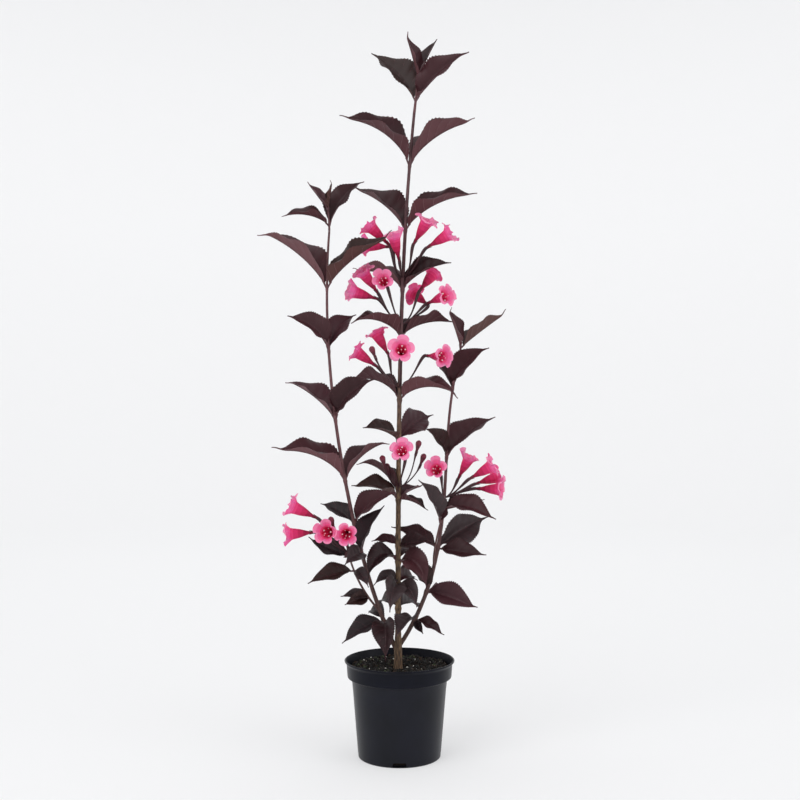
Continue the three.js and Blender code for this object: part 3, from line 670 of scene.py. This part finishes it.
def scatter_fibres(skin, trunk_foot, draw):
    for _ in range(FIBRES["count"]):
        far = SOIL["reach"] * draw.uniform(0.1, 0.9)
        turn = draw.uniform(0, 2 * math.pi)
        lie = draw.uniform(0, math.pi)
        middle = np.array([far * math.cos(turn), far * math.sin(turn)])
        reach = draw.uniform(2, 6)
        way = np.array([math.cos(lie), math.sin(lie)])
        ends = [middle + s * reach * way for s in np.linspace(-0.5, 0.5, 5)]
        near = min(np.hypot(*(e - trunk_foot[:2])) for e in ends)
        if near < FIBRES["gap"] or max(np.hypot(*e) for e in ends) > SOIL["reach"]:
            continue
        line = [(*e, soil_height(*e) + 0.5 + 0.4 * math.sin(k)) for k, e in enumerate(ends)]
        tube(skin, line, np.full(5, draw.uniform(0.15, 0.35)), 5, FIBRES["kind"])


def potting_mix():
    potting_mix_surface()
    colours = [material(f"crumb_{i}", kind[0], 0.9) for i, kind in enumerate(CRUMBS)]
    crumbs = Skin("potting_mix_crumbs", colours)
    trunk_foot = Trunk().at(0)
    draw = np.random.default_rng(77)
    scatter_crumbs(crumbs, trunk_foot, draw)
    scatter_fibres(crumbs, trunk_foot, draw)
    made = crumbs.build()
    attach(made, "root")


# ---------------------------------------------------------------- stems
def stem(name, limb, nodes, sides, bark, replaced):
    """A stem with swollen nodes, long ridges and a little unevenness."""
    skin = Skin(name, [bark])
    u = np.linspace(0, 1, STEM_RINGS)
    centres = limb.at(u)
    radii = np.repeat(limb.radius(u)[:, None], sides, 1)
    angle = turns(sides)
    for z, *_ in nodes:
        swell = np.exp(-((centres[:, 2] - z) / SWELL["reach"]) ** 2)
        radii *= 1 + (SWELL["share"] * swell)[:, None] * (1 + SWELL["oval"] * np.cos(2 * angle))
    length = centres[:, 2][:, None]
    ridge = np.sin(5 * angle + length * 0.05) * 0.5 + np.sin(9 * angle - length * 0.11 + 1.3) * 0.35
    rough = hills(length + 0 * angle, 14 * np.cos(angle) + 0 * length, 31, 9, 3)
    radii = radii * (0.97 + 0.018 * ridge + 0.03 * rough)
    tube(skin, centres, radii, sides)
    made = skin.build()
    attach(made, "root")
    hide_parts(replaced)


# ---------------------------------------------------------------- leaves
def blade_share(t):
    blade = np.clip((t - LEAF["petiole"]) / (1 - LEAF["petiole"] - LEAF["drip"]), 0, 1)
    body = np.sin(math.pi * blade**0.88) ** 1.05 * (1 - 0.35 * blade**3)
    return np.maximum(body, 0.05 * (1 - t) / LEAF["drip"] * (t > 0.5))


class Blade:
    """One leaf's surface: point(t, v) with t from foot to tip and v from -1 to 1 across."""

    def __init__(self, foot, spec, draw):
        across, toward, lift, bow, roll = spec
        out = np.array([across, -toward, 0.0])
        reach = np.linalg.norm(out)
        out /= reach
        chord = UP * lift + out * reach
        rise = unit(out * -lift + UP * reach) * bow / 0.75  # a bezier's middle rises 0.75 of its handles
        self.points = (foot, foot + chord * 0.25 + rise, foot + chord * 0.7 + rise, foot + chord)
        samples = bezier(self.points, np.linspace(0, 1, 30))
        self.long = np.linalg.norm(np.diff(samples, axis=0), axis=1).sum()
        self.flat = np.cross(UP, out)
        self.roll = math.radians(roll) * (1 if across < 0 else -1)
        self.wave = draw.uniform(0, 2 * math.pi, 3)
        self.veins = VEIN_PAIRS["long"] if self.long > LONG_LEAF else VEIN_PAIRS["short"]
        self.curl = draw.uniform(-0.05, 0.10)
        self.lean = draw.uniform(-0.06, 0.06)
        self.ripple = draw.uniform(0.07, 0.15)

    def point(self, t, v):
        t, v = np.broadcast_arrays(np.asarray(t, float), np.asarray(v, float))
        place = bezier(self.points, t)
        along = bezier_tangent(self.points, t)
        upright = np.cross(along, self.flat)
        turned = (self.roll * np.minimum(1, t / 0.2))[..., None]
        side = self.flat * np.cos(turned) - upright * np.sin(turned)
        above = upright * np.cos(turned) + self.flat * np.sin(turned)
        wide = np.maximum(blade_share(t) * LEAF["width"] * self.long / 2, 0.55)
        fold = math.radians(LEAF["fold"]) * (0.85 + 0.4 * np.exp(-((t - 0.12) / 0.25) ** 2))
        edge = np.abs(v)
        out = v * wide * np.cos(fold)
        up = edge * wide * np.sin(fold)
        up = up + wide * LEAF["cup"] * (edge - edge**2) + wide * self.lean * v
        up = up + wide * self.ripple * edge**3 * np.sin(t * 17 + self.wave[0] + np.sign(v) * self.wave[1])
        up = up + self.curl * self.long * smoothstep(t, 0.8, 1.0) ** 2
        phase = (t - 0.1) * self.veins / 0.8 - edge * 0.95
        quilt = np.abs(np.sin(math.pi * phase)) ** 0.8 * smoothstep(t, 0.08, 0.2)
        quilt = quilt * (1 - smoothstep(t, 0.8, 0.95))
        up = up + (quilt - 0.4) * LEAF["quilt"] * self.long * np.minimum(1, edge * 4) * (1 - edge**4)
        return place + side * out[..., None] + above * up[..., None]

    def normal(self, t, v):
        e = 1e-3
        dt = self.point(np.minimum(t + e, 1), v) - self.point(np.maximum(t - e, 0), v)
        dv = self.point(t, v + e) - self.point(t, v - e)
        n = np.cross(dt, dv)
        return n / np.maximum(np.linalg.norm(n, axis=-1, keepdims=True), 1e-9)


def vein_lines(blade):
    """The midrib and the side veins, each as its t, its v and its share of the full width."""
    lines = [(np.linspace(0.07, 0.97, 26), np.zeros(26), np.full(26, 1.5))]
    s = np.linspace(0, 1, 9)
    across = 0.93 * s
    for k in range(int(blade.veins)):
        start = 0.1 + 0.8 * k / blade.veins
        forward = start + 0.8 / blade.veins * across * 0.95 + 0.02 * s**2
        for way in (-1, 1):
            lines.append((forward, way * across, 1 - 0.6 * s))
    return lines


def raise_vein(skin, blade, line, lift, width, over):
    """One vein as a narrow strip at a height of lift over the upper face."""
    keep = line[0] < 0.985
    t, v, share = (part[keep] for part in line)
    if len(t) < 3:
        return
    centre = blade.point(t, v)
    up = blade.normal(t, v)
    across = np.cross(np.gradient(centre, axis=0), up)
    across /= np.maximum(np.linalg.norm(across, axis=-1, keepdims=True), 1e-9)
    half = (width / 2 * share * np.minimum(1, (1 - t) * 6))[:, None]
    left = centre + up * lift + across * half
    right = centre + up * lift - across * half
    skin.grid(np.stack([left, right], 1), VEIN["vein_over" if over else "vein_under"], flip=not over)


def leaf(skin, veins, foot, spec, draw, tint):
    """A blade with two faces and teeth, its stalk, and its veins on both faces."""
    blade = Blade(foot, spec, draw)
    rows, columns = LEAF_MESH["rows"], LEAF_MESH["columns"]
    t = 0.06 + 0.94 * np.linspace(0, 1, rows) ** 0.95
    v = np.linspace(-1, 1, columns)
    tt, vv = np.meshgrid(t, v, indexing="ij")
    tooth = np.where(np.arange(rows) % 2 == 0, 1.0, LEAF_MESH["tooth"])[:, None]
    reach = np.where(np.abs(vv) > 0.99, tooth, 1.0)
    reach = np.where((tt > 0.14) & (tt < 0.93), reach, 1.0)
    upper = blade.point(tt, vv * reach)
    normal = blade.normal(tt, vv * 0.98)
    thick = LEAF["thick"] * np.minimum(1, 2.5 * (1 - np.abs(vv)))[..., None]
    skin.grid(upper, 2 * tint, flip=True)
    skin.grid(upper - normal * thick, 2 * tint + 1)
    # the stalk of the leaf, from the stem's middle to the foot of the blade
    stalk_t = np.linspace(0, 0.11, 7)
    centres = blade.point(stalk_t, np.zeros(7)) - blade.normal(stalk_t, np.zeros(7)) * 0.3
    tube(veins, centres, np.linspace(1.25, 0.7, 7), 8, VEIN["leaf_stalk"])
    for over, lift, width in ((True, 0.05, 0.34), (False, -LEAF["thick"] - 0.14, 0.5)):
        for line in vein_lines(blade):
            raise_vein(veins, blade, line, lift, width, over)


# ---------------------------------------------------------------- flowers
def facing(azimuth, tilt):
    a, e = math.radians(azimuth), math.radians(tilt)
    return np.array([math.sin(a) * math.cos(e), -math.cos(a) * math.cos(e), math.sin(e)])


def stalk_points(root, foot, axis):
    span = np.linalg.norm(foot - root)
    out = foot + axis * FLOWER["tube"] - root
    out[2] = 0
    out = unit(out)
    return (root, root + out * 0.34 * span + UP * 0.1 * span, foot - axis * 0.18 * span, foot)


def frame_of(axis):
    away = np.array([1.0, 0, 0]) if abs(axis[1]) > 0.9 else np.array([0, 1.0, 0])
    side = unit(np.cross(away, axis))
    return side, np.cross(axis, side)


def revolve(axis, origin, side, front, forward, radius, angle):
    """Points at a distance forward along the axis and radius from it, at an angle."""
    return (origin + axis * forward[..., None] + side * (radius * np.cos(angle))[..., None]
            + front * (radius * np.sin(angle))[..., None])


def sepals(skin, foot, axis, draw, reach=6.5, spread=0.2):
    side, front = frame_of(axis)
    for k in range(LOBES):
        angle = (k + draw.uniform(-0.15, 0.15)) * 2 * math.pi / LOBES
        s = np.linspace(0, 1, 7)
        out = side * math.cos(angle) + front * math.sin(angle)
        line = foot + axis * (s * reach * 0.95)[:, None] + out * (1.1 + spread * reach * s**1.6)[:, None]
        tube(skin, line, 0.5 * (1 - s) ** 0.7 + 0.1, 5, PART["calyx"])


def ball(skin, centre, size, shape, axis, shade):
    side, front = frame_of(axis)
    polar = np.linspace(0.02, math.pi - 0.02, 6)
    angle = turns(7)
    around = np.ones(len(angle))
    r = np.sin(polar)[:, None] * around
    points = centre + size * (
        axis * (-np.cos(polar)[:, None] * shape[2] * around)[..., None]
        + side * (r * np.cos(angle) * shape[0])[..., None]
        + front * (r * np.sin(angle) * shape[1])[..., None])
    skin.grid(points, shade, closed=True)


def petal_rings(side, front, turn, draw):
    """How far forward and how far out the flower's rings lie, up its tube and then over its lobes."""
    angle = turns(PETAL_SIDES)
    local = (angle * LOBES / (2 * math.pi)) % 1 - 0.5
    lobe_no = np.floor(angle * LOBES / (2 * math.pi)).astype(int) % LOBES
    lobe_turn = 2 * math.pi * (np.arange(LOBES) + 0.5) / LOBES + turn
    # a lobe that points up is a little larger
    upward = side[2] * np.cos(lobe_turn) + front[2] * np.sin(lobe_turn)
    lobe_size = (draw.uniform(0.9, 1.02, LOBES) + 0.07 * upward)[lobe_no]
    lobe_droop = draw.uniform(-1.2, 2.2, LOBES)[lobe_no]
    lobe_twist = draw.uniform(-1.1, 1.1, LOBES)[lobe_no]
    spread = draw.uniform()
    outline = (1 - np.abs(local * 2) ** 2.2) ** 0.7
    reach = FLOWER["notch"] + (FLOWER["lobe"] - FLOWER["notch"]) * outline
    reach = reach * lobe_size * (0.95 + 0.09 * spread)
    forward, radius = [], []
    for f, r in zip(TUBE_ALONG, TUBE_RADIUS):
        forward.append(np.full(PETAL_SIDES, float(f)))
        radius.append(r * (1 + 0.05 * np.cos(LOBES * angle) * f / FLOWER["tube"]))
    for s in np.linspace(0, 1, LOBE_RINGS + 1)[1:]:
        lip = MOUTH_AT + (9.3 - 2.2 * spread) * s - (0.8 + 3.2 * spread) * s**3
        cup = 2.0 * s * (np.abs(local * 2) ** 2) - 1.7 * s**2.5 * lobe_droop + lobe_twist * s * local * 2
        ripple = 0.3 * np.sin(local * 2 * math.pi * 3 + lobe_no) * s**2
        forward.append(np.full(PETAL_SIDES, lip) + cup + ripple)
        radius.append(FLOWER["mouth"] + (reach - FLOWER["mouth"]) * s)
    return np.array(forward), np.array(radius)


def stamens(skin, foot, axis, turn, size):
    """Five stamens and the style between them."""
    side, front = frame_of(axis)
    s = np.linspace(0, 1, 6)
    for k in range(LOBES):
        a = turn + (k + 0.5) * 2 * math.pi / LOBES
        long = 14 + 2.5 * math.sin(3 * k)
        out = side * math.cos(a) + front * math.sin(a)
        line = foot + axis * ((10 + long * s) * size)[:, None] + out * (1.6 + 2.6 * s)[:, None]
        tube(skin, line, np.full(6, 0.2), 4, PART["filament"])
        anther = 1.0 if k in LARGE_ANTHERS else 0.6
        ball(skin, line[-1] + axis * 0.5, anther, (0.9, 0.9, 1.3), axis, PART["anther"])
    line = foot + axis * ((10 + 21.5 * s) * size)[:, None] + side * (0.9 * s)[:, None]
    tube(skin, line, np.full(6, 0.26), 5, PART["filament"])
    ball(skin, line[-1], 0.6, (1, 1, 0.7), axis, PART["stigma"])


def corolla(skin, green, root, spec, centre, draw):
    """A flower: petals with two faces, stamens, stalk, ovary and calyx."""
    across, toward, up, azimuth, tilt = spec
    axis = facing(azimuth, tilt)
    size = 0.90 + 0.13 * draw.uniform()
    mouth = centre + np.array([across, -toward, up], float)
    foot = mouth - axis * FLOWER["tube"] * size
    side, front = frame_of(axis)
    turn = draw.uniform(0, 2 * math.pi)
    forward, radius = petal_rings(side, front, turn, draw)
    forward, radius = forward * size, radius * size
    spin = turns(PETAL_SIDES) + turn + np.zeros_like(forward)
    on_lobes = (np.arange(len(forward)) >= len(TUBE_ALONG))[:, None]
    outer = revolve(axis, foot, side, front, forward, radius, spin)
    inner_radius = np.where(on_lobes, radius, np.maximum(radius - 0.35, 0.3))
    inner = revolve(axis, foot, side, front, forward + np.where(on_lobes, 0.32, 0), inner_radius, spin)
    outside = np.concatenate([np.full(rows, PETAL[name]) for name, rows in OUTSIDE])
    depth = draw.integers(5, 9)
    inside = np.full(len(outside), PETAL["lobe_face"])
    for name, rows in INSIDE:
        inside[:depth + rows] = PETAL[name]
    skin.grid(outer, outside, closed=True, flip=True)
    skin.grid(inner, inside, closed=True)
    skin.grid(np.stack([outer[-1], inner[-1]]), PETAL["lobe_face"], closed=True, flip=True)
    stamens(green, foot, axis, turn, size)
    t = np.linspace(0, 1, 15)
    stalk = bezier(stalk_points(root, foot, axis), t)
    tube(green, stalk, 0.9 + 0.95 * smoothstep(t, 0.4, 0.85), 8, PART["calyx"])
    sepals(green, foot - axis * 0.6, axis, draw)


def bud(skin, green, root, spec, centre, draw):
    tip = centre + np.array([spec[0], -spec[1], spec[2]], float)
    axis = unit(np.array([spec[0], -spec[1], spec[2] + 20.0]))
    foot = tip - axis * BUD_LONG
    side, front = frame_of(axis)
    forward = np.array(BUD_ALONG)[:, None]
    angle = turns(20)
    radius = np.array(BUD_RADIUS)[:, None] * (1 + 0.06 * np.cos(LOBES * angle) * (forward / BUD_LONG))
    points = revolve(axis, foot, side, front, forward + 0 * angle, radius, angle + forward * 0.04)
    bands = (len(BUD_ALONG) - 1) // 2
    skin.grid(points, np.repeat([PETAL["bud_foot"], PETAL["bud_head"]], bands), closed=True)
    t = np.linspace(0, 1, 12)
    stalk = bezier(stalk_points(root, foot, axis), t)
    tube(green, stalk, 0.7 + 0.5 * smoothstep(t, 0.75, 0.98), 8, PART["calyx"])
    sepals(green, foot - axis * 0.4, axis, draw, 6.0, 0.1)


# ---------------------------------------------------------------- the plant
def stems():
    """Builds the three stems. Gives back each with its rows and its shoots, and the shoots' bark."""
    trunk_bark = bark_material(
        "trunk_bark", 330, 480,
        [(0.32, "#2d2018"), (0.5, "#5f4936"), (0.64, "#806548"), (0.8, "#463327")],
        [(0.3, "#3c2529"), (0.5, "#5a3c40"), (0.75, "#6d4c4e")])
    young_bark = bark_material(
        "young_bark", 130, 330,
        [(0.3, "#362420"), (0.55, "#573f38"), (0.8, "#442f2a")],
        [(0.3, "#4a2c30"), (0.5, "#643f43"), (0.75, "#7a5354")])
    trunk, left, right = Trunk(), Limb(LEFT_STEM), Limb(RIGHT_STEM)
    stem("main_stem_bark", trunk, MAIN_NODES, 28, trunk_bark, "main_stem")
    stem("left_stem_bark", left, LEFT_NODES, 22, young_bark, "left_stem")
    stem("right_stem_bark", right, RIGHT_NODES, 22, young_bark, "right_stem")
    groups = {"main": (trunk, MAIN_NODES, []), "left": (left, LEFT_NODES, []),
              "right": (right, RIGHT_NODES, [])}
    for name, (spec, nodes) in TWIGS.items():
        groups[name.split("_")[0]][2].append((Limb(spec), nodes))
    return groups, young_bark


def leaf_materials():
    made = []
    for i, (over, under) in enumerate(TINTS):
        made.append(material(f"leaf_over_{i}", over, 0.45, Specular_IOR_Level=0.24))
        made.append(material(f"leaf_under_{i}", under, 0.65, Specular_IOR_Level=0.15))
    return made


def shaded(rows):
    """Materials from rows of name, colour, roughness and shine."""
    return [material(name, base, rough, Specular_IOR_Level=shine) for name, base, rough, shine in rows]


def petal_materials():
    made = shaded(PETAL_ROWS)
    # light comes through the petals
    for m in made:
        shader = m.node_tree.nodes["Principled BSDF"]
        shader.inputs["Subsurface Weight"].default_value = 0.5
        shader.inputs["Subsurface Radius"].default_value = (1.0, 0.4, 0.5)
        shader.inputs["Subsurface Scale"].default_value = 0.0015
    return made


def grow(name, limb, nodes, shoots, skins, draw):
    """Puts the leaves, flowers and buds on one stem and its shoots."""
    blades, veins, corollas, calyces, twigs = skins
    for line, its_nodes in [(limb, nodes)] + shoots:
        for z, leaves, flowers, buds in its_nodes:
            centre = line.at(line.share(z))
            for spec in leaves:
                tint = int(draw.choice(len(TINTS), p=LOW_SHARES if z < GREY_SHEEN_BELOW else HIGH_SHARES))
                leaf(blades, veins, centre, spec, draw, tint)
            root = line.at(line.share(z + (COLLAR_PITCH if line is limb else 0)))
            for spec in flowers:
                corolla(corollas, calyces, root, spec, centre, draw)
            for spec in buds + SMALL_BUDS.get((name, z), []):
                bud(corollas, calyces, root, spec, centre, draw)
    for line, _ in shoots:
        u = np.linspace(0, 1, 60)
        tube(twigs, line.at(u), line.radius(u), 12)


def foliage_and_blossom(groups, young_bark):
    blade_materials = leaf_materials()
    vein_materials = shaded(VEIN_ROWS)
    corollas = Skin("corollas", petal_materials())
    calyces = Skin("calyces_and_stamens", shaded(PART_ROWS))
    twigs = Skin("twigs", [young_bark])
    draw = np.random.default_rng(4)
    for name, (limb, nodes, shoots) in groups.items():
        blades = Skin(f"leaves_{name}", blade_materials)
        veins = Skin(f"leaf_veins_{name}", vein_materials)
        grow(name, limb, nodes, shoots, (blades, veins, corollas, calyces, twigs), draw)
        mine = [n for n in NODES if n.split("_")[0] == name and n != f"{name}_stem"]
        for skin, slot in ((blades, "foliage"), (veins, "foliage")):
            made = skin.build()
            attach(made, "root")
            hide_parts(*[n for n in mine if "flowers" not in n])
    for skin, slot in ((corollas, "blossom"), (calyces, "blossom"), (twigs, "young_stem")):
        made = skin.build()
        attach(made, "root")
        if slot == "blossom":
            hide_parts(*[n for n in NODES if "flowers" in n])


camera()
studio()
pot()
potting_mix()
foliage_and_blossom(*stems())
